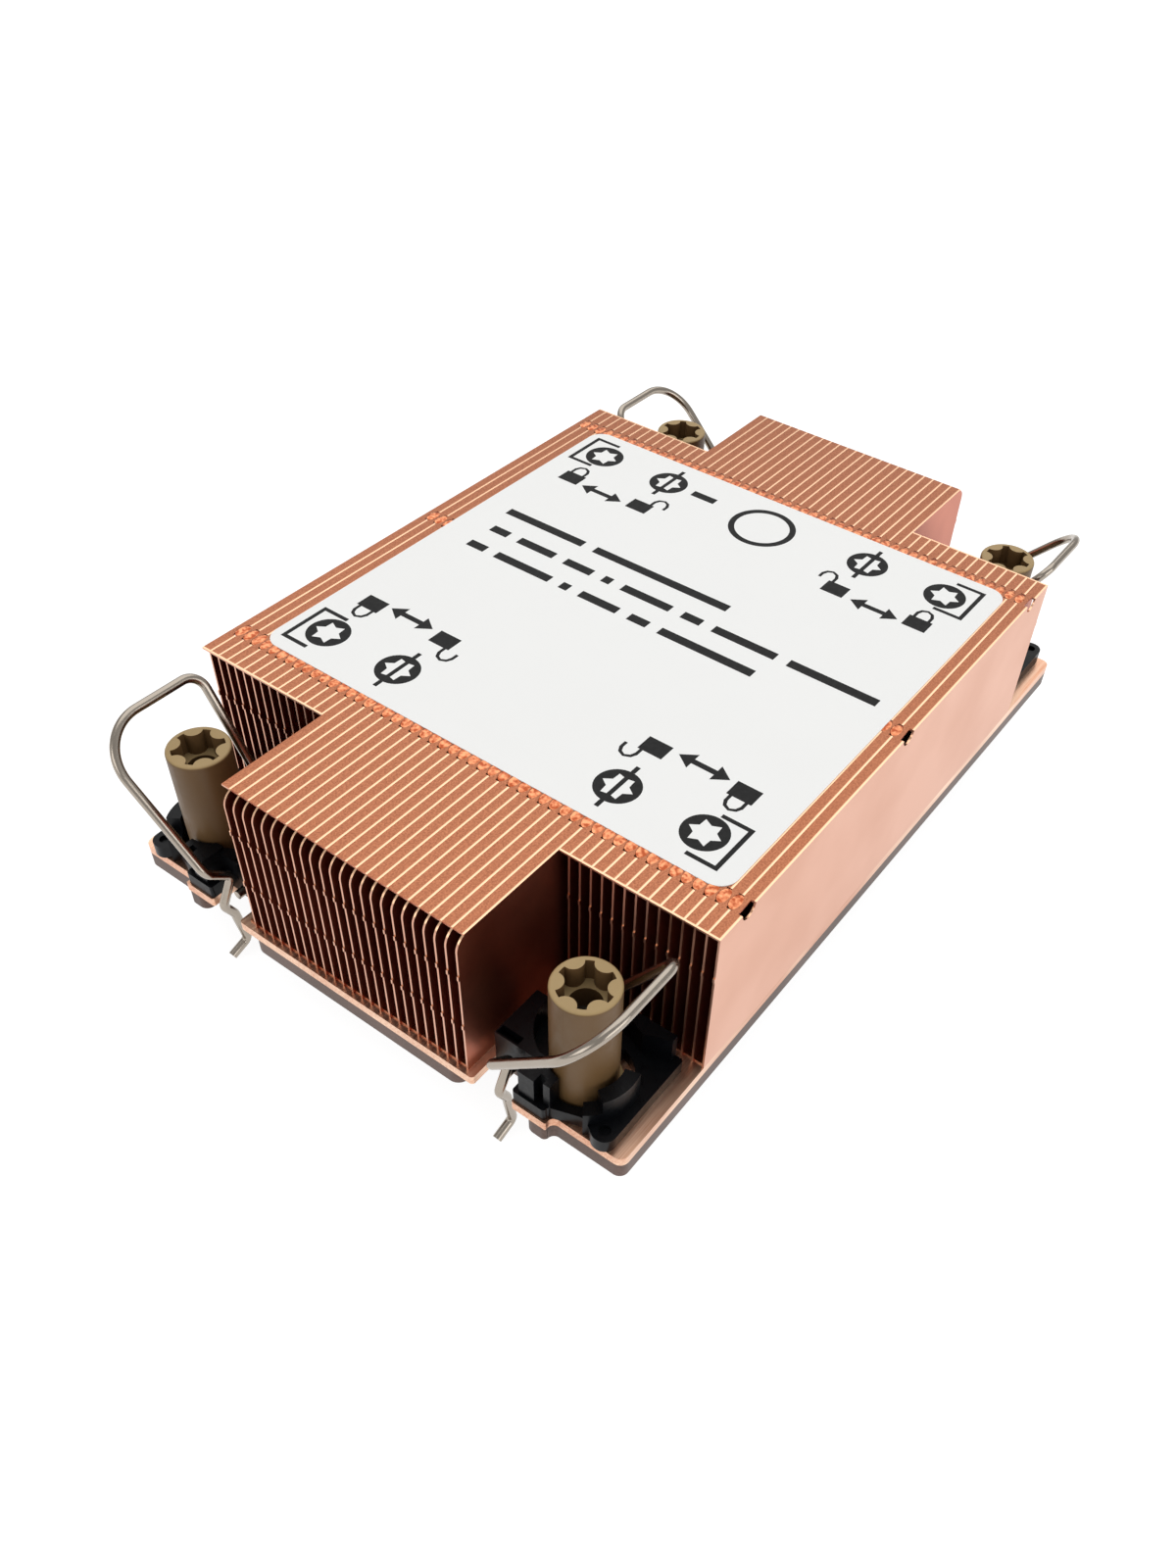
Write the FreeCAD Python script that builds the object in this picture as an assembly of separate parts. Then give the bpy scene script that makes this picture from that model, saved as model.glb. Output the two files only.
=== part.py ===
import FreeCAD, Part
import math
import os

# Passive heatsink for a 1U server processor: a stacked copper fin pack on a two-layer copper base,
# with a captive nut, a black retainer and a swinging anti-tilt wire at each of the four corners.
# Frame: +X along the fins, +Y across them, +Z up. Origin at the centre of the base's underside.
# All lengths in millimetres, angles in degrees.

os.makedirs("parts", exist_ok=True)

V = FreeCAD.Vector
UP = V(0, 0, 1)
ALONG = V(1, 0, 0)
ACROSS = V(0, 1, 0)

# Base plates
BASE_HALF_LENGTH = 56.5
BASE_HALF_WIDTH = 39.0
LOWER_THICKNESS = 2.2
UPPER_THICKNESS = 1.3
TONGUE_REACH = 1.7
TONGUE_MARGIN = 1.1
TONGUE_CORNER = 1.6
TONGUE_CORNER_UPPER = 0.5
LOWER_TONGUE_INSET = 2.0
NOTCH_CORNER = 0.8
NOTCH_DEPTH = 5.2
NOTCH_WIDTH = 5.3
LUG_REACH = 1.3
LUG_WIDTH = 4.9
LUG_CORNER = 1.2
LUG_CORNER_UPPER = 0.3
LOWER_LUG_WIDTH = 3.0
STEP_RADIUS = 0.9
PLATE_CORNER = 1.2

# Fin stack
FIN_PITCH = 1.5
FIN_THICKNESS = 0.25
FIN_FLANGE_GAP = 0.02
FIN_TOP = 26.0
SIDE_FINS = 14
CORNER_BAY_LENGTH = 15.5
LONG_FIN_SETBACK = 0.6
LONG_FLANGE_SETBACK = 1.2
FIN_CORNER = 2.0
FIN_FOOT_SETBACK = 0.3

# Interlocks between neighbouring fins
LOCK_FROM_END = 5.5
LOCK_HOLE_RADIUS = 1.3
LOCK_TAB_WIDTH = 2.1
LOCK_TAB_REACH = 0.5
LOCK_FLANGE_SLOT = 0.6
EDGE_BUMP_LENGTH = 0.15
EDGE_BUMP_HEIGHT = 0.7
SHORT_BUMP_LEVEL = 19.5
LONG_BUMP_LEVELS = (11.5, 20.0)

# Label on the fin flanges
LABEL_LOCK_GAP = 0.4
LABEL_SIDE_MARGIN = 3.8
LABEL_THICKNESS = 0.12
LABEL_CORNER = 2.5
LABEL_SHIFT_X = -0.1
LABEL_SHIFT_Y = -0.6

# Captive nuts
NUT_FROM_END = 5.5
NUT_PAST_LUG = 0.2
NUT_RADIUS = 3.95
NUT_TOP = 21.5
NUT_RIM_ROUND = 0.35
NUT_FLANGE_RADIUS = 4.6
NUT_FLANGE_THICKNESS = 1.0
NUT_FLANGE_ROUND = 0.2
NUT_NECK_RADIUS = 3.4
NUT_NECK_GAP = 0.05
NUT_NECK_ROUND = 0.3
NUT_NECK_END = 0.8
NUT_SEAT_GAP = 0.05
STAR_TIP_RADIUS = 3.25
STAR_TOOTH_RADIUS = 1.25
STAR_TOOTH_CENTRE = 3.5
STAR_TEETH = 6
STAR_DEPTH = 3.0
CLEARANCE_BORE = 1.9
INSERT_DEPTH = 6.0
INSERT_RADIUS = 2.6
THREAD_CORE_RADIUS = 1.65
THREAD_MOUTH = 0.4

# Anti-tilt wires; hook heights are from the hinge's axis
WIRE_RADIUS = 0.6
HINGE_OFFSET = 4.0
HINGE_GAP = 0.05
HINGE_END_SETBACK = 0.8
BAIL_REAR_GAP = 4.0
BAIL_OVERHANG = 4.1
BAIL_HEIGHT = 25.9
REAR_BEND = 2.3
FRONT_BEND = 6.0
HINGE_BEND = 1.5
HOOK_ANGLE = 33.0
HOOK_OFFSET = 0.55
KNEE_OVERHANG = 2.5
KNEE_HEIGHT = 6.3
KNEE_BEND = 1.8
NECK_SETBACK = 0.9
NECK_HEIGHT = 3.3
NECK_BEND = 1.0
NOSE_OVERHANG = 1.1
NOSE_HEIGHT = -0.8
NOSE_BEND = 1.2
SHANK_SETBACK = 0.2
SHANK_HEIGHT = -3.3
SHANK_BEND = 2.0
HEEL_SETBACK = 1.25
HEEL_HEIGHT = -9.2
HEEL_BEND = 0.9
TOE_OVERHANG = 1.6
TOE_HEIGHT = -10.3
LEAN_ANGLE_FRONT_LEFT = 30.6
LEAN_ANGLE_FRONT_RIGHT = 35.1
LEAN_ANGLE_REAR_LEFT = 40.0
LEAN_ANGLE_REAR_RIGHT = 36.0

# Retainers; offsets along the fins are from the base's end
RETAINER_THICKNESS = 1.9
RETAINER_REAR_GAP = 1.6
RETAINER_INNER_GAP = 1.6
RETAINER_SIDE_MARGIN = 1.8
RETAINER_TIP = 0.4
RETAINER_WAIST = 1.0
RETAINER_CORNER = 1.5
SMALL_CORNER = 0.4
LIP_SETBACK = 0.2
LIP_END_GAP = 0.3
TOWER_TOP = 9.0
TOWER_SETBACK = 1.9
TOWER_WIDTH = 5.8
SCOOP_RADIUS = 6.9
SCOOP_SETBACK = 9.1
SCOOP_OFFSET = 6.2
SLOT_LENGTH = 1.1
SLOT_WIDTH = 3.0
SLOT_DEPTH = 1.5
SLOT_MARGIN = 0.2
RIB_TOP = 9.4
RIB_OFFSET = 3.2
RIB_WIDTH = 2.2
RIB_OVERHANG = 0.8
RIB_ROOT_SETBACK = 2.6
WEB_SETBACK = 0.5
SECOND_RIB_OFFSET = 6.4
SECOND_RIB_WIDTH = 0.9
SECOND_RIB_OVERHANG = 0.4
FLANGE_CLEARANCE = 0.35
FLANGE_PLAY = 0.1
COLLAR_INNER = 4.8
COLLAR_OUTER = 6.6
COLLAR_TOP = 9.2
COLLAR_START_ANGLE = 55.0
COLLAR_END_ANGLE = 105.0
COLLAR_STEP_START_ANGLE = 36.0
COLLAR_STEP_TOP = 7.2
GAP_START_ANGLE = 112.0
GAP_END_ANGLE = 165.0
GAP_RADIUS = 5.7
WALL_TOP = 9.0
WALL_THICKNESS = 0.9
WALL_OFFSET = 7.4
WALL_RIDGE = 1.2
WALL_END_GAP = 1.1
LEG_ROOM_OFFSET = 3.2
DIMPLE_RADIUS = 0.7
DIMPLE_DEPTH = 0.5
DIMPLE_INSET = 1.5

# Lengths that follow from the ones above
BASE_TOP = LOWER_THICKNESS + UPPER_THICKNESS
NUT_X = BASE_HALF_LENGTH - NUT_FROM_END
CENTRE_FINS = round(2 * BASE_HALF_WIDTH / FIN_PITCH) - 2 * SIDE_FINS
PACK_HALF = (CENTRE_FINS + 2 * SIDE_FINS) * FIN_PITCH / 2
CENTRE_HALF = CENTRE_FINS * FIN_PITCH / 2
SHORT_HALF_LENGTH = BASE_HALF_LENGTH - CORNER_BAY_LENGTH
LOCK_SPACING = SHORT_HALF_LENGTH - LOCK_FROM_END
LABEL_LENGTH = 2 * (LOCK_SPACING - LABEL_LOCK_GAP)
LABEL_WIDTH = 2 * (PACK_HALF - LABEL_SIDE_MARGIN)
LONG_HALF_LENGTH = BASE_HALF_LENGTH + TONGUE_REACH - LONG_FIN_SETBACK
LONG_FLANGE_HALF = LONG_HALF_LENGTH - LONG_FLANGE_SETBACK
TONGUE_HALF_WIDTH = CENTRE_HALF + TONGUE_MARGIN
LUG_INNER = TONGUE_HALF_WIDTH + NOTCH_WIDTH
LUG_OUTER = LUG_INNER + LUG_WIDTH
NUT_Y = LUG_OUTER + NUT_PAST_LUG
HINGE_Y = CENTRE_HALF + HINGE_OFFSET
HINGE_Z = BASE_TOP + WIRE_RADIUS + HINGE_GAP
BAIL_REAR = SHORT_HALF_LENGTH + BAIL_REAR_GAP
PACK_FLOOR = BASE_TOP
CORNERS = (
    ("front_left", -1, 1, LEAN_ANGLE_FRONT_LEFT),
    ("front_right", -1, -1, LEAN_ANGLE_FRONT_RIGHT),
    ("rear_left", 1, 1, LEAN_ANGLE_REAR_LEFT),
    ("rear_right", 1, -1, LEAN_ANGLE_REAR_RIGHT),
)


def block(x0, x1, y0, y1, z0, z1):
    """A box between two limits on each axis."""
    return Part.makeBox(x1 - x0, y1 - y0, z1 - z0, V(x0, y0, z0))


def rod(radius, x, y, z0, z1):
    """An upright cylinder."""
    return Part.makeCylinder(radius, z1 - z0, V(x, y, z0), UP)


def fuse(first, *others):
    """One solid from touching pieces."""
    shape = first
    for other in others:
        shape = shape.fuse(other)
    return shape.removeSplitter()


def rounded_outline(points, radii):
    """A closed wire through the points, each corner turned by an arc of its own radius."""
    count = len(points)
    starts = []
    ends = []
    mids = []
    for i in range(count):
        here = points[i]
        back = points[i - 1] - here
        ahead = points[(i + 1) % count] - here
        if radii[i] <= 0:
            starts.append(here)
            ends.append(here)
            mids.append(None)
            continue
        back.normalize()
        ahead.normalize()
        half = back.getAngle(ahead) / 2
        reach = radii[i] / math.tan(half)
        centre_way = back + ahead
        centre_way.normalize()
        centre = here + centre_way * (radii[i] / math.sin(half))
        starts.append(here + back * reach)
        ends.append(here + ahead * reach)
        mids.append(centre - centre_way * radii[i])
    edges = []
    for i in range(count):
        if mids[i] is not None:
            edges.append(Part.Arc(starts[i], mids[i], ends[i]).toShape())
        following = starts[(i + 1) % count]
        if (following - ends[i]).Length > 1e-6:
            edges.append(Part.LineSegment(ends[i], following).toShape())
    return Part.Wire(edges)


def slab(points, radii, z0, z1):
    """A plate with the given outline between two heights."""
    outline = rounded_outline([V(x, y, z0) for x, y in points], radii)
    return Part.Face(outline).extrude(V(0, 0, z1 - z0))


def to_corner(shape, side_x, side_y):
    """A piece drawn at the +X +Y corner, carried to another corner by mirroring."""
    if side_x < 0:
        shape = shape.mirror(V(0, 0, 0), ALONG)
    if side_y < 0:
        shape = shape.mirror(V(0, 0, 0), ACROSS)
    return shape


def save(shape, name):
    """Write one node."""
    shape.exportStep("parts/" + name + ".step")


# --- Base plates: one quarter of each outline, mirrored about both axes ---

def base_plate(z0, z1, tongue, lug_inner, lug_corner, tongue_corner):
    """A base plate with a tongue, an open notch and a lug at each end of each side."""
    tongue_x = BASE_HALF_LENGTH + TONGUE_REACH
    lug_x = BASE_HALF_LENGTH + LUG_REACH
    notch_x = BASE_HALF_LENGTH + TONGUE_REACH - NOTCH_DEPTH
    points = [
        (0, 0),
        (tongue_x, 0),
        (tongue_x, tongue),
        (notch_x, tongue),
        (notch_x, lug_inner),
        (lug_x, lug_inner),
        (lug_x, LUG_OUTER),
        (BASE_HALF_LENGTH, LUG_OUTER),
        (BASE_HALF_LENGTH, BASE_HALF_WIDTH),
        (0, BASE_HALF_WIDTH),
    ]
    radii = [
        0,
        0,
        tongue_corner,
        NOTCH_CORNER,
        NOTCH_CORNER,
        lug_corner,
        lug_corner / 2,
        STEP_RADIUS,
        PLATE_CORNER,
        0,
    ]
    quarter = slab(points, radii, z0, z1)
    half = quarter.fuse(quarter.mirror(V(0, 0, 0), ALONG))
    plate = half.fuse(half.mirror(V(0, 0, 0), ACROSS)).removeSplitter()
    for _name, side_x, side_y, _lean in CORNERS:
        hole = rod(NUT_NECK_RADIUS + NUT_NECK_GAP, side_x * NUT_X, side_y * NUT_Y, z0 - 1, z1 + 1)
        plate = plate.cut(hole)
    return plate


lower_tongue = TONGUE_HALF_WIDTH - LOWER_TONGUE_INSET
lower_lug_inner = LUG_OUTER - LOWER_LUG_WIDTH
base_bottom = base_plate(0, LOWER_THICKNESS, lower_tongue, lower_lug_inner, LUG_CORNER, TONGUE_CORNER)
base_top = base_plate(
    LOWER_THICKNESS, BASE_TOP, TONGUE_HALF_WIDTH, LUG_INNER, LUG_CORNER_UPPER, TONGUE_CORNER_UPPER
)
save(base_bottom, "base_lower_plate")
save(base_top, "base_upper_plate")


# --- Fins: a folded sheet with a flange along its top and its foot, both towards +Y ---

def fin(half_length, flange_half, corner, bump_levels, with_tabs=True):
    """One fin with its web at y = 0 and its flanges reaching one pitch to +Y."""
    flange_end = FIN_PITCH - FIN_FLANGE_GAP
    foot_half = half_length - FIN_FOOT_SETBACK
    web_points = [
        V(-half_length, 0, PACK_FLOOR),
        V(half_length, 0, PACK_FLOOR),
        V(half_length, 0, FIN_TOP),
        V(-half_length, 0, FIN_TOP),
    ]
    web_outline = rounded_outline(web_points, [0, 0, corner, corner])
    sheet = Part.Face(web_outline).extrude(V(0, FIN_THICKNESS, 0))
    top_flange = block(-flange_half, flange_half, 0, flange_end, FIN_TOP - FIN_THICKNESS, FIN_TOP)
    foot_flange = block(-foot_half, foot_half, 0, flange_end, PACK_FLOOR, PACK_FLOOR + FIN_THICKNESS)
    sheet = sheet.fuse(top_flange).fuse(foot_flange)
    for row in (-1, 0, 1):
        x = row * LOCK_SPACING
        hole = Part.makeCylinder(LOCK_HOLE_RADIUS, LOCK_FLANGE_SLOT + 1, V(x, -1, FIN_TOP), ACROSS)
        sheet = sheet.cut(hole)
        if not with_tabs:
            continue
        tab = block(
            x - LOCK_TAB_WIDTH / 2,
            x + LOCK_TAB_WIDTH / 2,
            FIN_PITCH - FIN_THICKNESS * 2,
            FIN_PITCH + LOCK_TAB_REACH,
            FIN_TOP - FIN_THICKNESS * 2,
            FIN_TOP - FIN_THICKNESS,
        )
        sheet = sheet.fuse(tab)
    for level in bump_levels:
        for side in (-1, 1):
            x0 = half_length - FIN_THICKNESS if side > 0 else -half_length - EDGE_BUMP_LENGTH
            x1 = x0 + FIN_THICKNESS + EDGE_BUMP_LENGTH
            low = level - EDGE_BUMP_HEIGHT / 2
            bump = block(x0, x1, 0, FIN_THICKNESS, low, low + EDGE_BUMP_HEIGHT)
            sheet = sheet.fuse(bump)
    return sheet.removeSplitter()


def fin_group(first, count, pattern, last=None):
    """A run of fins side by side, each its own solid; the outermost may be of its own kind."""
    fins = []
    for k in range(count):
        y = -PACK_HALF + (first + k) * FIN_PITCH
        kind = last if last and k == count - 1 else pattern
        fins.append(kind.translated(V(0, y, 0)))
    return Part.makeCompound(fins)


short_fin = fin(SHORT_HALF_LENGTH, SHORT_HALF_LENGTH, 0, (SHORT_BUMP_LEVEL,))
long_fin = fin(LONG_HALF_LENGTH, LONG_FLANGE_HALF, FIN_CORNER, LONG_BUMP_LEVELS)
save(fin_group(0, SIDE_FINS, short_fin), "fins_right")
save(fin_group(SIDE_FINS, CENTRE_FINS, long_fin), "fins_centre")
end_fin = fin(SHORT_HALF_LENGTH, SHORT_HALF_LENGTH, 0, (SHORT_BUMP_LEVEL,), False)
save(fin_group(SIDE_FINS + CENTRE_FINS, SIDE_FINS, short_fin, end_fin), "fins_left")


# --- Label ---

label_points = [
    (LABEL_SHIFT_X - LABEL_LENGTH / 2, LABEL_SHIFT_Y - LABEL_WIDTH / 2),
    (LABEL_SHIFT_X + LABEL_LENGTH / 2, LABEL_SHIFT_Y - LABEL_WIDTH / 2),
    (LABEL_SHIFT_X + LABEL_LENGTH / 2, LABEL_SHIFT_Y + LABEL_WIDTH / 2),
    (LABEL_SHIFT_X - LABEL_LENGTH / 2, LABEL_SHIFT_Y + LABEL_WIDTH / 2),
]
save(slab(label_points, [LABEL_CORNER] * 4, FIN_TOP, FIN_TOP + LABEL_THICKNESS), "label")


# --- Captive nut: a tall plastic sleeve with a flange, a neck through the base and a star socket ---

nut_floor = BASE_TOP + NUT_SEAT_GAP
flange_top = nut_floor + NUT_FLANGE_THICKNESS
socket_floor = NUT_TOP - STAR_DEPTH
insert_top = NUT_TOP - INSERT_DEPTH


def star_socket():
    """A round well with six round teeth left standing in it, cut down from the top of the nut."""
    well = rod(STAR_TIP_RADIUS, NUT_X, NUT_Y, socket_floor, NUT_TOP + 1)
    for i in range(STAR_TEETH):
        turn = math.radians(360 * i / STAR_TEETH)
        x = NUT_X + STAR_TOOTH_CENTRE * math.cos(turn)
        y = NUT_Y + STAR_TOOTH_CENTRE * math.sin(turn)
        well = well.cut(rod(STAR_TOOTH_RADIUS, x, y, socket_floor - 1, NUT_TOP + 1))
    return well


def nut():
    """The sleeve, without its metal insert."""
    profile = [
        V(NUT_NECK_RADIUS, 0, NUT_NECK_END),
        V(NUT_NECK_RADIUS, 0, nut_floor),
        V(NUT_FLANGE_RADIUS, 0, nut_floor),
        V(NUT_FLANGE_RADIUS, 0, flange_top),
        V(NUT_RADIUS, 0, flange_top),
        V(NUT_RADIUS, 0, NUT_TOP),
        V(0, 0, NUT_TOP),
        V(0, 0, NUT_NECK_END),
    ]
    radii = [NUT_NECK_ROUND, 0, 0, NUT_FLANGE_ROUND, 0, NUT_RIM_ROUND, 0, 0]
    body = Part.Face(rounded_outline(profile, radii)).revolve(V(0, 0, 0), UP, 360)
    body.translate(V(NUT_X, NUT_Y, 0))
    body = body.cut(rod(INSERT_RADIUS, NUT_X, NUT_Y, NUT_NECK_END - 1, insert_top))
    body = body.cut(rod(CLEARANCE_BORE, NUT_X, NUT_Y, insert_top - 1, NUT_TOP))
    return body.cut(star_socket())


def nut_insert():
    """The steel sleeve that carries the thread."""
    body = rod(INSERT_RADIUS, NUT_X, NUT_Y, NUT_NECK_END, insert_top)
    body = body.cut(rod(THREAD_CORE_RADIUS, NUT_X, NUT_Y, NUT_NECK_END - 1, insert_top + 1))
    mouth = Part.makeCone(THREAD_CORE_RADIUS + THREAD_MOUTH, THREAD_CORE_RADIUS, THREAD_MOUTH)
    mouth.translate(V(NUT_X, NUT_Y, NUT_NECK_END))
    return body.cut(mouth)


# --- Anti-tilt wire: hinge bar, rear leg, crossbar, front leg, hook and foot, bent from one rod ---

def bent_rod(points, bends, radius):
    """A round rod through the points, turned at each inner point by an arc."""
    pieces = []
    here = points[0]
    for i in range(1, len(points)):
        if i == len(points) - 1:
            pieces.append(Part.LineSegment(here, points[i]).toShape())
            break
        back = points[i - 1] - points[i]
        ahead = points[i + 1] - points[i]
        back.normalize()
        ahead.normalize()
        half = back.getAngle(ahead) / 2
        reach = bends[i - 1] / math.tan(half)
        way = back + ahead
        way.normalize()
        centre = points[i] + way * (bends[i - 1] / math.sin(half))
        start = points[i] + back * reach
        end = points[i] + ahead * reach
        pieces.append(Part.LineSegment(here, start).toShape())
        pieces.append(Part.Arc(start, centre - way * bends[i - 1], end).toShape())
        here = end
    path = Part.Wire(pieces)
    first = points[1] - points[0]
    section = Part.Wire([Part.Circle(points[0], first, radius).toShape()])
    return path.makePipe(Part.Face(section))


def bail_wire(lean):
    """The wire with its crossbar leaning outward from the vertical by the given angle."""
    turn = math.radians(lean)

    def at(x, rise, out):
        """A point by its place along the hinge, its rise along the bail and its offset outward."""
        y = HINGE_Y + rise * math.sin(turn) + out * math.cos(turn)
        z = HINGE_Z + rise * math.cos(turn) - out * math.sin(turn)
        return V(x, y, z)

    tilt = math.radians(HOOK_ANGLE)

    def hook(x, height):
        """A point of the hook, which hangs in its own plane beside the hinge."""
        rise = HOOK_OFFSET * math.sin(tilt) + height * math.cos(tilt)
        out = HOOK_OFFSET * math.cos(tilt) - height * math.sin(tilt)
        return at(x, rise, out)

    points = [
        at(BASE_HALF_LENGTH - HINGE_END_SETBACK, 0, 0),
        at(BAIL_REAR, 0, 0),
        at(BAIL_REAR, BAIL_HEIGHT, 0),
        at(BASE_HALF_LENGTH + BAIL_OVERHANG, BAIL_HEIGHT, 0),
        hook(BASE_HALF_LENGTH + KNEE_OVERHANG, KNEE_HEIGHT),
        hook(BASE_HALF_LENGTH - NECK_SETBACK, NECK_HEIGHT),
        hook(BASE_HALF_LENGTH + NOSE_OVERHANG, NOSE_HEIGHT),
        hook(BASE_HALF_LENGTH - SHANK_SETBACK, SHANK_HEIGHT),
        hook(BASE_HALF_LENGTH - HEEL_SETBACK, HEEL_HEIGHT),
        hook(BASE_HALF_LENGTH + TOE_OVERHANG, TOE_HEIGHT),
    ]
    bends = [HINGE_BEND, REAR_BEND, FRONT_BEND, KNEE_BEND, NECK_BEND, NOSE_BEND, SHANK_BEND, HEEL_BEND]
    return bent_rod(points, bends, WIRE_RADIUS)


# --- Retainer: a moulded plate with a hinge tower, a front lip, a collar and a back wall ---

def sector(radius, start, end, z0, z1):
    """A slice of a disc round the nut's axis, between two angles."""
    points = [V(NUT_X, NUT_Y, z0)]
    steps = 3
    for i in range(steps + 1):
        turn = math.radians(start + (end - start) * i / steps)
        points.append(V(NUT_X + 2 * radius * math.cos(turn), NUT_Y + 2 * radius * math.sin(turn), z0))
    wedge = Part.Face(Part.makePolygon(points + [points[0]])).extrude(V(0, 0, z1 - z0))
    return wedge.common(rod(radius, NUT_X, NUT_Y, z0, z1))


def retainer():
    """The black moulding that traps the nut's flange and the wire's hinge bar."""
    plate_top = BASE_TOP + RETAINER_THICKNESS
    back = SHORT_HALF_LENGTH + RETAINER_REAR_GAP
    inner = CENTRE_HALF + RETAINER_INNER_GAP
    side = BASE_HALF_WIDTH - RETAINER_SIDE_MARGIN
    lip_front = BASE_HALF_LENGTH + LUG_REACH - LIP_SETBACK
    lip_end = LUG_OUTER - LIP_END_GAP
    tip = BASE_HALF_LENGTH + RETAINER_TIP
    waist = BASE_HALF_LENGTH - RETAINER_WAIST
    tower_front = BASE_HALF_LENGTH - TOWER_SETBACK
    points = [
        (back, inner),
        (tower_front, inner),
        (tower_front, LUG_INNER),
        (lip_front, LUG_INNER),
        (lip_front, lip_end),
        (tip, lip_end),
        (waist, NUT_Y + NUT_FLANGE_RADIUS - RETAINER_WAIST),
        (tip, NUT_Y + NUT_FLANGE_RADIUS + RETAINER_WAIST),
        (tip, side),
        (back, side),
    ]
    radii = [SMALL_CORNER] * 6 + [RETAINER_CORNER, RETAINER_CORNER, RETAINER_CORNER, SMALL_CORNER]
    body = slab(points, radii, BASE_TOP, plate_top)
    tower_back = BAIL_REAR + WIRE_RADIUS + HINGE_BEND
    tower = block(tower_back, tower_front, inner, inner + TOWER_WIDTH, BASE_TOP, TOWER_TOP)
    scoop_x = BASE_HALF_LENGTH - SCOOP_SETBACK
    tower = tower.cut(rod(SCOOP_RADIUS, scoop_x, HINGE_Y + SCOOP_OFFSET, plate_top, TOWER_TOP + 1))
    slot_front = tower_front - SLOT_MARGIN
    slot_inner = inner + SLOT_MARGIN
    tower = tower.cut(
        block(
            slot_front - SLOT_LENGTH,
            slot_front,
            slot_inner,
            slot_inner + SLOT_WIDTH,
            TOWER_TOP - SLOT_DEPTH,
            TOWER_TOP + 1,
        )
    )
    rib_low = HINGE_Y + RIB_OFFSET
    rib_root = BASE_HALF_LENGTH - RIB_ROOT_SETBACK
    rib = block(rib_root, BASE_HALF_LENGTH + RIB_OVERHANG, rib_low, rib_low + RIB_WIDTH, BASE_TOP, RIB_TOP)
    second_low = HINGE_Y + SECOND_RIB_OFFSET
    second_high = second_low + SECOND_RIB_WIDTH
    second_rib = block(
        rib_root, BASE_HALF_LENGTH + SECOND_RIB_OVERHANG, second_low, second_high, BASE_TOP, RIB_TOP
    )
    web = block(rib_root, BASE_HALF_LENGTH - WEB_SETBACK, rib_low, second_high, BASE_TOP, RIB_TOP)
    wall_inner = HINGE_Y + WALL_OFFSET
    wall_outer = side - WALL_END_GAP
    wall_front = back + WALL_THICKNESS
    wall_points = [
        (back, wall_inner),
        (wall_front, wall_inner),
        (wall_front + WALL_RIDGE, (wall_inner + wall_outer) / 2),
        (wall_front, wall_outer),
        (back, wall_outer),
    ]
    wall = slab(wall_points, [0] * len(wall_points), BASE_TOP, WALL_TOP)
    collar = sector(COLLAR_OUTER, COLLAR_START_ANGLE, COLLAR_END_ANGLE, BASE_TOP, COLLAR_TOP)
    step = sector(COLLAR_OUTER, COLLAR_STEP_START_ANGLE, COLLAR_START_ANGLE + 1, BASE_TOP, COLLAR_STEP_TOP)
    limit = block(back, tip, inner, side, BASE_TOP, COLLAR_TOP)
    collar = collar.fuse(step).common(limit)
    collar = collar.cut(rod(COLLAR_INNER, NUT_X, NUT_Y, plate_top, COLLAR_TOP + 1))
    body = fuse(body, tower, rib, second_rib, web, wall, collar)
    trap = flange_top + FLANGE_PLAY
    body = body.cut(rod(NUT_FLANGE_RADIUS + FLANGE_CLEARANCE, NUT_X, NUT_Y, BASE_TOP - 1, trap))
    body = body.cut(rod(NUT_RADIUS + FLANGE_CLEARANCE, NUT_X, NUT_Y, trap - 1, COLLAR_TOP + 1))
    body = body.cut(sector(GAP_RADIUS, GAP_START_ANGLE, GAP_END_ANGLE, BASE_TOP - 1, COLLAR_TOP + 1))
    groove_radius = WIRE_RADIUS + HINGE_GAP
    groove_start = back - 1
    groove_end = tower_front + 1
    groove_mouth = V(groove_start, HINGE_Y, HINGE_Z)
    groove = Part.makeCylinder(groove_radius, groove_end - groove_start, groove_mouth, ALONG)
    slot = block(
        groove_start, groove_end, HINGE_Y - groove_radius, HINGE_Y + groove_radius, BASE_TOP - 1, HINGE_Z
    )
    body = body.cut(groove).cut(slot)
    leg_room = block(
        groove_start, tower_back, inner - 1, HINGE_Y + LEG_ROOM_OFFSET, BASE_TOP - 1, plate_top + 1
    )
    swing_room = block(groove_start, tower_back, inner - 1, wall_inner, plate_top, COLLAR_TOP + 1)
    body = body.cut(leg_room).cut(swing_room)
    dimple_floor = plate_top - DIMPLE_DEPTH
    dimple = rod(DIMPLE_RADIUS, tip - DIMPLE_INSET, side - DIMPLE_INSET, dimple_floor, plate_top + 1)
    return body.cut(dimple)


retainer_shape = retainer()
nut_shape = nut()
insert_shape = nut_insert()
for name, side_x, side_y, lean in CORNERS:
    save(to_corner(retainer_shape, side_x, side_y), "retainer_" + name)
    save(to_corner(nut_shape, side_x, side_y), "nut_" + name)
    save(to_corner(insert_shape, side_x, side_y), "nut_insert_" + name)
    save(to_corner(bail_wire(lean), side_x, side_y), "bail_wire_" + name)
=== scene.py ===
import math
import bmesh
import bpy
from mathutils import Matrix, Vector


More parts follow.
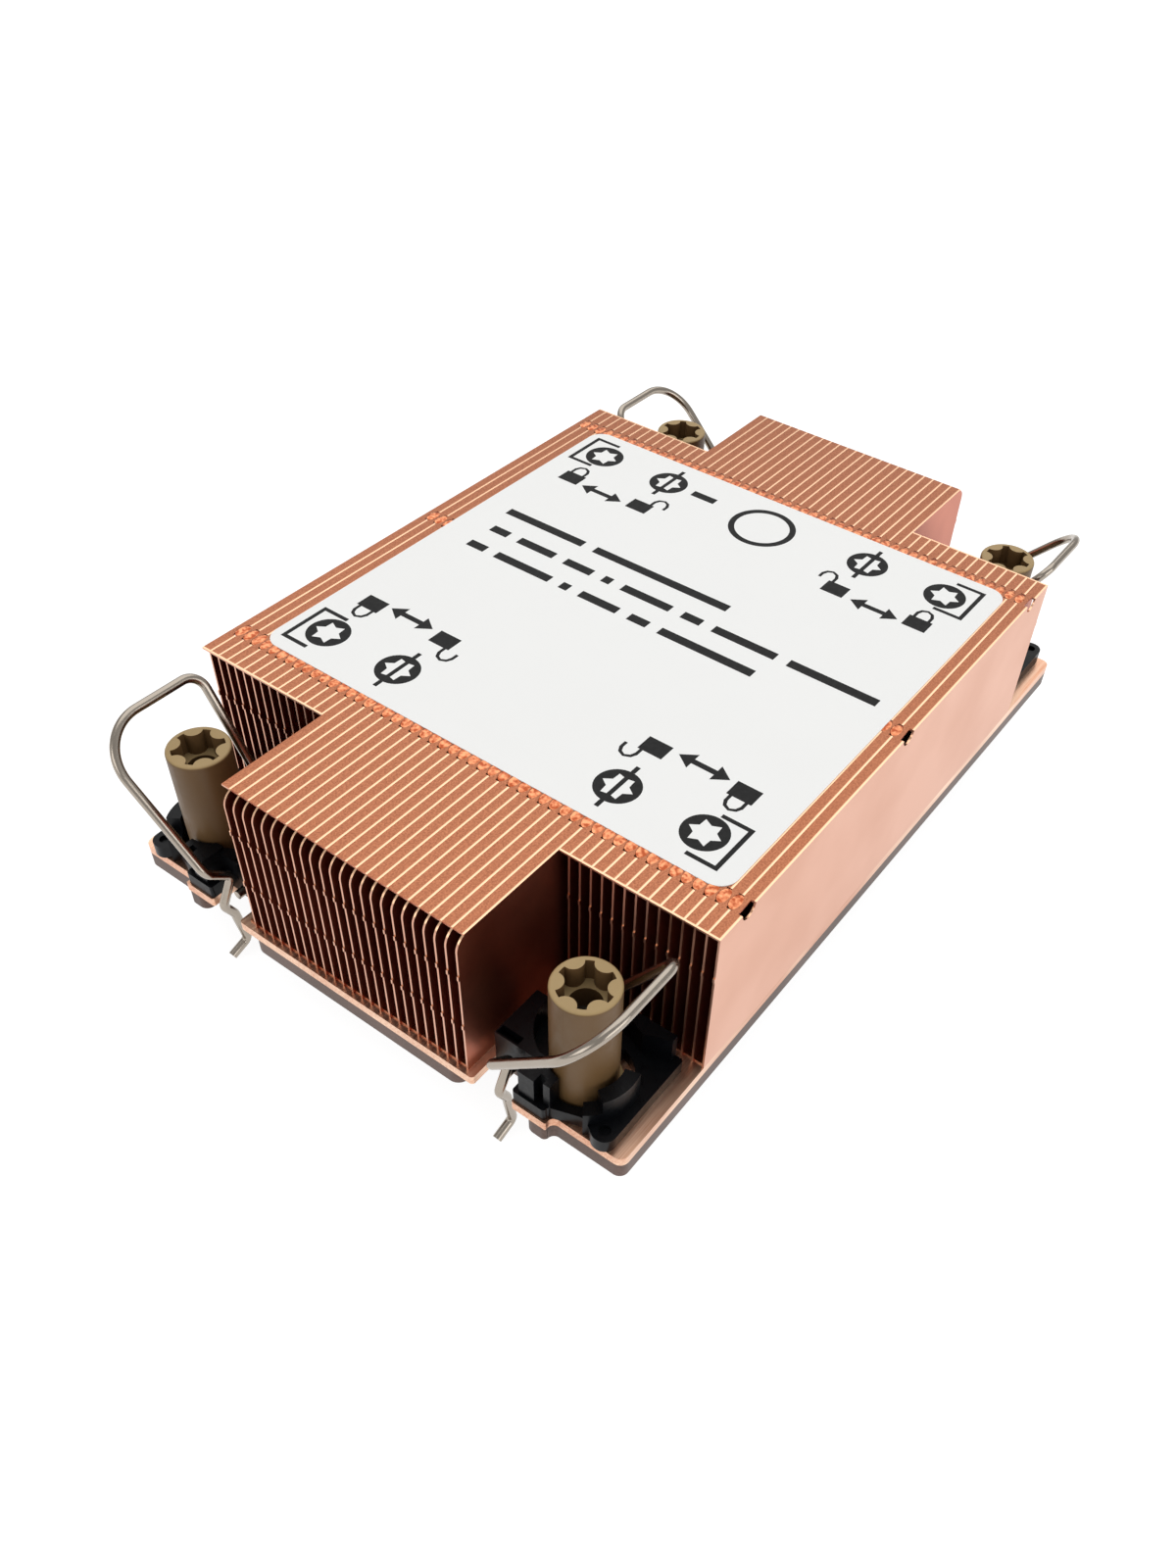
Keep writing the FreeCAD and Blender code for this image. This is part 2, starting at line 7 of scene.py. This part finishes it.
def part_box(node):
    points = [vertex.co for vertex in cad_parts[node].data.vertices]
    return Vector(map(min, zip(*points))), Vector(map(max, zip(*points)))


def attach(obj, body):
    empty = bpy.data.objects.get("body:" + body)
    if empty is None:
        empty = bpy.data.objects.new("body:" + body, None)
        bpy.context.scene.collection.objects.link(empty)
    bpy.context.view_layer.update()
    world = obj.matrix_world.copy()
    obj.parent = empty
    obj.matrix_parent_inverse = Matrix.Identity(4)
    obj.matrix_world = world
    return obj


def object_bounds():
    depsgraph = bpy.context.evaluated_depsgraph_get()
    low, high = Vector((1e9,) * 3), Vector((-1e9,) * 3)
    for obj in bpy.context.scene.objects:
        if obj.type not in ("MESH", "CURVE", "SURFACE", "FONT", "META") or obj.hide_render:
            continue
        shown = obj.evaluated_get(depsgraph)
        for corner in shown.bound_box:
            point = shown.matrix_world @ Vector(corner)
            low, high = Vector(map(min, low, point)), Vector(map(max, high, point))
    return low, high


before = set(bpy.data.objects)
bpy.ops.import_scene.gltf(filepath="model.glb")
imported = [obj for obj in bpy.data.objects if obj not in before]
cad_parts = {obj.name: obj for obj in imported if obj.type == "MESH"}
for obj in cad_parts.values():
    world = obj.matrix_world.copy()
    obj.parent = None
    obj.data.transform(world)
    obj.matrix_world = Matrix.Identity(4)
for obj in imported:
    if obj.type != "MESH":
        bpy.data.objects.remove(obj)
cad_low, cad_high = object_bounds()


# Camera: close in with a wide lens, above the front right corner and looking down on it,
# so the near nut is large; it rolls by two degrees.
mm = 0.001
camera_data = bpy.data.cameras.new("camera")
camera_data.lens = 29.55
camera_data.sensor_width = 36.0
camera_data.shift_x = -0.0321
camera_data.shift_y = 0.0538
camera_data.clip_start = 0.005
camera = bpy.data.objects.new("camera", camera_data)
bpy.context.scene.collection.objects.link(camera)
camera.location = Vector((-116.95, -79.17, 125.55)) * mm
camera.rotation_euler = (math.radians(43.616), math.radians(-2.311), math.radians(-53.833))
bpy.context.scene.camera = camera


# Table: a matt white sheet just under the wires' hooks. The camera and the bright metal see it glow
# a clean white with a faint shadow on it; it lights the object only as white paper would.
def linear(hex_colour):
    """The linear colour, with alpha, of an sRGB hex value."""
    parts = [int(hex_colour[i:i + 2], 16) / 255 for i in (1, 3, 5)]
    return tuple(c / 12.92 if c <= 0.04045 else ((c + 0.055) / 1.055) ** 2.4 for c in parts) + (1.0,)


def add_node(tree, kind, settings=None, links=None):
    """One shader node with its settings, by socket or attribute name, and what feeds its inputs."""
    node = tree.nodes.new("ShaderNode" + kind)
    for name, value in (settings or {}).items():
        if isinstance(name, int) or name in node.inputs:
            node.inputs[name].default_value = value
        else:
            setattr(node, name, value)
    for name, source in (links or {}).items():
        socket = source.outputs[0] if isinstance(source, bpy.types.Node) else source
        tree.links.new(socket, node.inputs[name])
    return node


def start_material(name):
    """A new material and its node tree, emptied."""
    material = bpy.data.materials.new(name)
    material.use_nodes = True
    material.node_tree.nodes.clear()
    return material, material.node_tree


def ray_is(tree, first, second):
    """One for a ray of either kind, else nought."""
    seen = add_node(tree, "LightPath")
    kinds = {0: seen.outputs[first], 1: seen.outputs[second]}
    return add_node(tree, "Math", {"operation": "MAXIMUM"}, kinds)


table_size = 3.0
table_gap = 0.2 * mm
shape = bmesh.new()
bmesh.ops.create_grid(shape, x_segments=1, y_segments=1, size=table_size / 2)
bmesh.ops.translate(shape, verts=shape.verts, vec=(0, 0, cad_low.z - table_gap))
floor_mesh = bpy.data.meshes.new("floor")
shape.to_mesh(floor_mesh)
shape.free()
floor = bpy.data.objects.new("floor", floor_mesh)
bpy.context.scene.collection.objects.link(floor)
table_white, tree = start_material("matt white table")
paper = add_node(tree, "BsdfDiffuse", {"Color": linear("#F4F4F4")})
glow = add_node(tree, "Emission", {"Color": linear("#FFFFFF"), "Strength": 0.88})
thin = add_node(tree, "BsdfDiffuse", {"Color": linear("#9A9A9A")})
shaded = add_node(tree, "AddShader", {}, {0: glow, 1: thin})
direct = ray_is(tree, "Is Camera Ray", "Is Glossy Ray")
white = add_node(tree, "MixShader", {}, {0: direct, 1: paper, 2: shaded})
add_node(tree, "OutputMaterial", {}, {"Surface": white})
floor.data.materials.append(table_white)


# Studio light: three large soft boxes in a pale room, placed so that they put long pale streaks
# on the bright metal. The room is half as bright to the object as it is to the camera.
world = bpy.data.worlds.new("studio")
bpy.context.scene.world = world
world.use_nodes = True
tree = world.node_tree
tree.nodes.clear()
room = add_node(tree, "Background", {"Color": linear("#FFFFFF"), "Strength": 0.5})
clear = add_node(tree, "Background", {"Color": linear("#FFFFFF"), "Strength": 1.0})
direct = ray_is(tree, "Is Camera Ray", "Is Transmission Ray")
sky = add_node(tree, "MixShader", {}, {0: direct, 1: room, 2: clear})
add_node(tree, "OutputWorld", {}, {"Surface": sky})


def soft_box(name, place, aim, size, power):
    """An oblong area lamp at a place, turned to a point."""
    data = bpy.data.lights.new(name, "AREA")
    data.shape = "RECTANGLE"
    data.size, data.size_y = size
    data.energy = power
    lamp = bpy.data.objects.new(name, data)
    lamp.location = place
    lamp.rotation_euler = (Vector(aim) - Vector(place)).to_track_quat("-Z", "Y").to_euler()
    bpy.context.scene.collection.objects.link(lamp)


soft_box("overhead_box", place=(0.25, 0.20, 0.60), aim=(0, 0, 0), size=(0.9, 0.9), power=2.6)
soft_box("side_box", place=(-0.05, -0.65, 0.25), aim=(0, 0, 0.01), size=(0.6, 0.35), power=1.2)
soft_box("front_box", place=(-0.60, 0.10, 0.30), aim=(0, 0, 0.01), size=(0.5, 0.3), power=0.7)


# Base plates: two stamped sheets of copper, one upon the other. The upper one is bright and brushed;
# the lower one has gone dull and brown-grey, as handled copper does.
def noise(tree, scale, detail, place, **more):
    """A noise between nought and one, of a scale in waves to the metre."""
    settings = {"Scale": scale, "Detail": detail, **more}
    return add_node(tree, "TexNoise", settings, {"Vector": place}).outputs["Fac"]


def spread(tree, value, low, high):
    """A value stretched so that low becomes nought and high becomes one."""
    return add_node(tree, "MapRange", {"From Min": low, "From Max": high}, {"Value": value})


def blend(tree, share, first, second):
    """A colour between two others, each a hex value or a socket."""
    factor, colour_a, colour_b, result = 0, 6, 7, 2
    settings, links = {"data_type": "RGBA"}, {factor: share}
    for name, colour in ((colour_a, first), (colour_b, second)):
        if isinstance(colour, str):
            settings[name] = linear(colour)
        else:
            links[name] = colour
    return add_node(tree, "Mix", settings, links).outputs[result]


def copper(name, dark, bright, low, high, grain):
    """Copper brushed along X, with slow patches of tarnish and a roughness between two limits."""
    material, tree = start_material(name)
    place = add_node(tree, "TexCoord").outputs["Object"]
    drawn_out = {"Scale": (0.06 / mm, 2.4 / mm, 2.4 / mm)}
    streak = noise(tree, 1.6, 3.0, add_node(tree, "Mapping", drawn_out, {"Vector": place}))
    patch = noise(tree, 0.06 / mm, 2.0, place)
    streak_share = 0.4
    part = add_node(tree, "Math", {"operation": "MULTIPLY", 1: streak_share}, {0: streak})
    both = add_node(tree, "Math", {"operation": "MULTIPLY_ADD", 1: 1 - streak_share}, {0: patch, 2: part})
    paint = blend(tree, spread(tree, both, 0.35, 0.65), dark, bright)
    rough = add_node(tree, "MapRange", {"To Min": low, "To Max": high}, {"Value": streak})
    bump = add_node(tree, "Bump", {"Strength": grain, "Distance": grain_depth}, {"Height": streak})
    looks = {"Base Color": paint, "Roughness": rough, "Normal": bump}
    metal = add_node(tree, "BsdfPrincipled", {"Metallic": 1.0}, looks)
    add_node(tree, "OutputMaterial", {}, {"Surface": metal})
    return material


def dress(node, material):
    """Give a CAD node its finish, on its object's own material slots."""
    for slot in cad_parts[node].material_slots:
        slot.link = "OBJECT"
        slot.material = material


grain_depth = 0.01 * mm
bright_copper = copper("brushed bright copper plate", "#CC8A68", "#FFDCC0", low=0.26, high=0.4, grain=0.5)
dull_copper = copper("handled dull copper plate", "#54453E", "#75615A", low=0.36, high=0.5, grain=0.3)
dress("base_upper_plate", bright_copper)
dress("base_lower_plate", dull_copper)


# Fins: folded from 0.25 mm rolled copper strip, stacked and soldered to the base. Each fold and
# flange end has a pale painted highlight line on the grainy brown top; the outer webs and cut edges
# are smooth and pink, and the webs inside the stack are painted darker as shade, so the gaps go maroon.
def soft_step(tree, value, low, high):
    """Goes smoothly from nought to one as the value goes from low to high."""
    limits = {"interpolation_type": "SMOOTHSTEP", "From Min": low, "From Max": high}
    return add_node(tree, "MapRange", limits, {"Value": value})


def fin_strip(name, half_length):
    """Rolled copper strip for a group of fins, with painted highlights on the folds and flange ends and
    painted shade on the inner webs.
    """
    material, tree = start_material(name)
    place = add_node(tree, "TexCoord").outputs["Object"]
    normal = add_node(tree, "NewGeometry").outputs["True Normal"]
    along, across = add_node(tree, "SeparateXYZ", {}, {0: place}).outputs[:2]
    facing = add_node(tree, "SeparateXYZ", {}, {0: normal}).outputs

    past_fold = add_node(tree, "Math", {"operation": "WRAP", 1: fin_pitch, 2: 0.0}, {0: across})
    from_middle = add_node(tree, "Math", {"operation": "ABSOLUTE"}, {0: along})
    flange_end = half_length - edge_bump
    # Painted highlight: a pale line along each fold and each flange end on the top faces.
    fold = soft_step(tree, past_fold, line_width, line_width / 2)
    end = soft_step(tree, from_middle, flange_end - line_width, flange_end - line_width / 2)
    painted_highlight = add_node(tree, "Math", {"operation": "MAXIMUM"}, {0: fold, 1: end})
    upward = add_node(tree, "Math", {"operation": "GREATER_THAN", 1: 0.5}, {0: facing["Z"]})
    line = add_node(tree, "Math", {"operation": "MULTIPLY"}, {0: painted_highlight, 1: upward})

    speckle = noise(tree, 4.8 / mm, 2.0, place, Roughness=0.7)
    cloud = spread(tree, noise(tree, 0.07 / mm, 2.0, place), 0.35, 0.65)
    brown = blend(tree, spread(tree, speckle, 0.25, 0.75), "#8E563E", "#C4805E")
    pink = blend(tree, cloud, "#DBA68C", "#E4B29A")
    # Painted shade: the webs inside the stack get this darker colour; the outer webs and the cut edges
    # keep the pink.
    painted_shade_maroon = blend(tree, cloud, "#B4644E", "#CC7C62")

    left_web = add_node(tree, "Math", {"operation": "GREATER_THAN", 1: left_web_middle}, {0: across})
    right_web = add_node(tree, "Math", {"operation": "LESS_THAN", 1: right_web_middle}, {0: across})
    outer = add_node(tree, "Math", {"operation": "MAXIMUM"}, {0: left_web, 1: right_web})
    end_facing = add_node(tree, "Math", {"operation": "ABSOLUTE"}, {0: facing["X"]})
    cut_edge = add_node(tree, "Math", {"operation": "GREATER_THAN", 1: 0.7}, {0: end_facing})
    pale = add_node(tree, "Math", {"operation": "MAXIMUM"}, {0: outer, 1: cut_edge})

    # Painted highlight lines over the brown tops, and painted shade on the inner webs.
    paint = blend(tree, line, blend(tree, upward, blend(tree, pale, painted_shade_maroon, pink), brown), "#FFCEA8")
    rough = add_node(tree, "MapRange", {"To Min": 0.38, "To Max": 0.26}, {"Value": line})
    bump = add_node(tree, "Bump", {"Strength": 0.25, "Distance": grain_depth}, {"Height": speckle})
    looks = {"Base Color": paint, "Roughness": rough, "Normal": bump}
    metal = add_node(tree, "BsdfPrincipled", {"Metallic": 1.0}, looks)
    add_node(tree, "OutputMaterial", {}, {"Surface": metal})
    return material


fin_pitch = 1.5 * mm
line_width = 0.34 * mm
edge_bump = 0.15 * mm
stack_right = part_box("fins_right")[0].y
stack_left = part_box("fins_left")[1].y
left_web_middle = stack_left - fin_pitch + 0.15 * mm
right_web_middle = stack_right + 0.1 * mm
dress("fins_centre", fin_strip("rolled copper strip, long fins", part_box("fins_centre")[1].x))
side_strip = fin_strip("rolled copper strip, short fins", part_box("fins_left")[1].x)
dress("fins_left", side_strip)
dress("fins_right", side_strip)


# Lock scales: where the press drove each fin's tab over the next one it left a bright low dome,
# overlapping like fish scales, in three rows across the stack; the label hides most of one row.
lock_spacing = 35.5 * mm
scale_half_length = 1.25 * mm
scale_half_width = 0.76 * mm
scale_height = 0.09 * mm
scale_lean = math.radians(5)
scale_past_fold = 0.15 * mm
scale_sink = 0.01 * mm
scale_root = 0.04 * mm
label_low, label_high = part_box("label")
fin_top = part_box("fins_centre")[1].z
dome = bmesh.new()
bmesh.ops.create_uvsphere(dome, u_segments=16, v_segments=8, radius=1.0)
squeeze = Matrix.Diagonal((scale_half_length, scale_half_width, scale_height, 1))
bmesh.ops.transform(dome, matrix=Matrix.Rotation(scale_lean, 4, "X") @ squeeze, verts=dome.verts)
whole = dome.verts[:] + dome.edges[:] + dome.faces[:]
cut = Vector((0, 0, -scale_root))
bmesh.ops.bisect_plane(dome, geom=whole, plane_co=cut, plane_no=(0, 0, 1), clear_inner=True)
bmesh.ops.holes_fill(dome, edges=[edge for edge in dome.edges if edge.is_boundary])
bmesh.ops.recalc_face_normals(dome, faces=dome.faces)
dome.verts.index_update()
outlines = sorted([v.index for v in face.verts] for face in dome.faces)  # the same order each run
points, faces = [], []
for row in (-lock_spacing, 0.0, lock_spacing):
    for k in range(1, round((stack_left - stack_right) / fin_pitch)):
        y = stack_right + fin_pitch * k + scale_past_fold
        if label_low.x < row < label_high.x and label_low.y < y < label_high.y:
            continue
        faces += [[len(points) + n for n in outline] for outline in outlines]
        points += [Vector((row, y, fin_top - scale_sink)) + v.co for v in dome.verts]
dome.free()
scale_mesh = bpy.data.meshes.new("lock_scales")
scale_mesh.from_pydata(points, [], faces)
for face in scale_mesh.polygons:
    face.use_smooth = len(face.vertices) <= 4  # the flat underside has more sides
lock_scales = bpy.data.objects.new("lock_scales", scale_mesh)
bpy.context.scene.collection.objects.link(lock_scales)
pressed, tree = start_material("pressed bright copper")
place = add_node(tree, "TexCoord").outputs["Object"]
dent = noise(tree, 1.8 / mm, 1.0, place)
paint = blend(tree, spread(tree, dent, 0.35, 0.65), "#A85232", "#F0A074")
dent_depth = 0.05 * mm
bump = add_node(tree, "Bump", {"Strength": 0.8, "Distance": dent_depth}, {"Height": dent})
looks = {"Base Color": paint, "Normal": bump}
metal = add_node(tree, "BsdfPrincipled", {"Metallic": 1.0, "Roughness": 0.25}, looks)
add_node(tree, "OutputMaterial", {}, {"Surface": metal})
lock_scales.data.materials.append(pressed)
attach(lock_scales, "heatsink")


# Label: white film, 70 mm square, stuck on the fin flanges. Its coating is matt enough to stay white
# from every side and smooth enough to catch a soft sheen, a little uneven where it was rubbed down.
def uneven(tree, scale, low, high):
    """A roughness that wanders between two values, at a scale in waves to the metre."""
    cloud = noise(tree, scale, 2.0, add_node(tree, "TexCoord").outputs["Object"])
    limits = {"From Min": 0.3, "From Max": 0.7, "To Min": low, "To Max": high}
    return add_node(tree, "MapRange", limits, {"Value": cloud})


def plain(name, settings, scale, low, high, paint=None):
    """A finish with an uneven roughness, in one colour or in those of a paint function."""
    material, tree = start_material(name)
    looks = {"Roughness": uneven(tree, scale, low, high)}
    if paint:
        looks["Base Color"] = paint(tree)
    body = add_node(tree, "BsdfPrincipled", settings, looks)
    add_node(tree, "OutputMaterial", {}, {"Surface": body})
    return material


white_film = {"Base Color": linear("#F4F4F2")}
film = plain("coated white satin polyester film", white_film, scale=0.09 / mm, low=0.4, high=0.5)
dress("label", film)


# Label print: plain black marks in a flat ink with hardly any shine. A star in a disc and a bracket
# at each corner, a barred star beside it, two padlocks joined by an arrow, a ring, and bars for the
# text. Every length here is in mm.
ink_sink = 0.004
ink_thickness = 0.012
disc_radius, star_tip, star_valley = 2.9, 2.15, 1.35
sign_up = 29.1
star_across, barred_across = 29.0, 17.0
stroke = 0.6
bar_top, bar_past_disc = 1.7, 1.2
bracket_outer, bracket_inner = 33.3, 29.0
bracket_low, bracket_high = 25.4, 33.2
lock_up, lock_half_width, lock_half_height = 21.0, 1.7, 1.3
shut_across, open_across, open_slide = 29.0, 16.5, 2.2
shackle = [(1.3, 0.0), (1.3, 1.1), (0.9, 1.9), (0.0, 2.3), (-0.9, 1.9), (-1.3, 1.1), (-1.3, 0.0)]
inside_width, inside_height = 0.66, 0.82  # of the shackle's own
shackle += [(a * inside_width, b * inside_height) for a, b in reversed(shackle)]
arrow_across, arrow_up = 22.9, 20.2
tip, barb, shaft, wing = 3.6, 1.6, 0.42, 1.4
arrow = [(-tip, 0), (-barb, wing), (-barb, shaft), (barb, shaft), (barb, wing)]
arrow += [(-a, -b) for a, b in arrow]
ring_across, ring_up, ring_outer, ring_inner = 0.5, 27.6, 4.9, 4.0
size_bar = (-12.6, -8.6, 28.4, 29.8)
text_height = 1.5
word_gap = 1
letter_trim = 0.15
text_lines = (
    (-30.2, 8.0, 7.8, (8, 13)),
    (-29.1, 33.3, 2.9, (2, 4, 3, 1, 5, 2, 6, 8)),
    (-29.2, 18.1, -1.9, (2, 6, 1, 4, 2, 9)),
)
print_level = label_high.z - ink_sink * mm
ink_shape = bmesh.new()


def mark(*loops):
    """One printed area from its outline and any holes, each a list of points: across, then up."""
    edges = []
    for loop in loops:
        verts = [ink_shape.verts.new((up * mm, -across * mm, print_level)) for across, up in loop]
        edges += [ink_shape.edges.new((verts[i - 1], verts[i])) for i in range(len(verts))]
    bmesh.ops.triangle_fill(ink_shape, use_beauty=True, edges=edges)


def box_mark(a0, a1, b0, b1):
    """A printed rectangle."""
    mark([(a0, b0), (a1, b0), (a1, b1), (a0, b1)])


def circle(a, b, radius, steps=40):
    """The points of a circle."""
    turns = [math.tau * i / steps for i in range(steps)]
    return [(a + radius * math.cos(t), b + radius * math.sin(t)) for t in turns]


def star(a, b):
    """The points of a six-pointed star, tips and valleys in turn."""
    spokes = [((star_tip, star_valley)[i % 2], math.pi * i / 6) for i in range(12)]
    return [(a + reach * math.cos(t), b + reach * math.sin(t)) for reach, t in spokes]


for side in (-1, 1):
    for end in (-1, 1):
        across, up = side * star_across, end * sign_up
        mark(circle(across, up, disc_radius), star(across, up))

        outer, inner = side * bracket_outer, side * bracket_inner
        low, high = end * bracket_low, end * bracket_high
        box_mark(outer - side * stroke, outer, low, high)
        box_mark(inner, outer - side * stroke, high - end * stroke, high)
        box_mark(inner, outer - side * stroke, low, low + end * stroke)

        across, half_bar = side * barred_across, stroke / 2
        left_points = [point for point in star(across, up) if point[0] < across - half_bar]
        left_points.sort(key=lambda point: -point[1])
        half_star = [(across - half_bar, up + bar_top), *left_points, (across - half_bar, up - bar_top)]
        mark(circle(across, up, disc_radius), half_star, [(2 * across - a, b) for a, b in half_star])
        for way in (-1, 1):
            bar_end = up + way * (disc_radius + bar_past_disc)
            box_mark(across - half_bar, across + half_bar, up + way * disc_radius, bar_end)

        for centre, slide in ((side * shut_across, 0.0), (side * open_across, -side * open_slide)):
            low, high = end * lock_up - lock_half_height, end * lock_up + lock_half_height
            box_mark(centre - lock_half_width, centre + lock_half_width, low, high)
            top = end * (lock_up + lock_half_height)
            mark([(centre + slide + a, top + end * b) for a, b in shackle])

        mark([(side * arrow_across + a, end * arrow_up + b) for a, b in arrow])

mark(*(circle(ring_across, ring_up, radius, 64) for radius in (ring_outer, ring_inner)))
for start, finish, up, words in text_lines:
    letter = (finish - start) / (sum(words) + word_gap * (len(words) - 1))
    for letters in words:
        word_end = start + (letters - letter_trim) * letter
        box_mark(start, word_end, up - text_height / 2, up + text_height / 2)
        start += (letters + word_gap) * letter
box_mark(*size_bar)
raised = bmesh.ops.extrude_face_region(ink_shape, geom=list(ink_shape.faces))["geom"]
raised = [v for v in raised if isinstance(v, bmesh.types.BMVert)]
bmesh.ops.translate(ink_shape, verts=raised, vec=(0, 0, ink_thickness * mm))
bmesh.ops.recalc_face_normals(ink_shape, faces=ink_shape.faces)
ink_shape.verts.index_update()
outlines = sorted([v.index for v in face.verts] for face in ink_shape.faces)
ink_mesh = bpy.data.meshes.new("label_print")
ink_mesh.from_pydata([v.co for v in ink_shape.verts], [], outlines)
ink_shape.free()
label_print = bpy.data.objects.new("label_print", ink_mesh)
bpy.context.scene.collection.objects.link(label_print)
flat_black = {"Base Color": linear("#161616"), "Specular IOR Level": 0.25}
ink = plain("screen-printed black ink", flat_black, scale=1.5 / mm, low=0.55, high=0.65)
label_print.data.materials.append(ink)
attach(label_print, "heatsink")


# Captive nuts: turned from natural tan PEEK rod, with a star socket and a steel insert. The upward
# faces are painted a pale putty colour as painted light and the sides a darker brown as painted
# shade, both waxy; the insert is a dull grey ring down in the socket.
def peek_painted_light_and_shade(tree):
    """Painted light and shade: brown on the sides and pale on the faces that look up."""
    normal = add_node(tree, "NewGeometry").outputs["Normal"]
    facing = add_node(tree, "SeparateXYZ", {}, {0: normal}).outputs["Z"]
    # Painted light on the upward faces, painted shade on the sides.
    return blend(tree, spread(tree, facing, 0.3, 0.8), "#6C5234", "#AE9468")


waxy = {"Specular IOR Level": 0.25}
peek = plain("turned natural PEEK", waxy, scale=0.9 / mm, low=0.37, high=0.47, paint=peek_painted_light_and_shade)
grey_metal = {"Base Color": linear("#8A8278"), "Metallic": 1.0}
steel = plain("turned and plated steel", grey_metal, scale=1.2 / mm, low=0.3, high=0.4)
corners = ("front_left", "front_right", "rear_left", "rear_right")
for corner in corners:
    dress("nut_" + corner, peek)
    dress("nut_insert_" + corner, steel)


# Retainers: injection-moulded black glass-filled nylon. Deep black with thin grey lights along the
# edges, broken up a little where the glass comes near the skin.
deep_black = {"Base Color": linear("#07080B"), "Specular IOR Level": 0.16}
nylon = plain("moulded black glass-filled nylon", deep_black, scale=1.6 / mm, low=0.27, high=0.37)
for corner in corners:
    dress("retainer_" + corner, nylon)


# Anti-tilt wires: 1.2 mm bright stainless spring wire, drawn through a die. A white light runs along
# each wire between dark sides, with small breaks in it where the wire was bent over a tool.
warm_metal = {"Base Color": linear("#A89E92"), "Metallic": 1.0}
spring = plain("drawn bright stainless spring wire", warm_metal, scale=0.7 / mm, low=0.17, high=0.27)
for corner in corners:
    dress("bail_wire_" + corner, spring)


# Output: colours go to the screen as they are.
bpy.context.scene.view_settings.view_transform = "Standard"
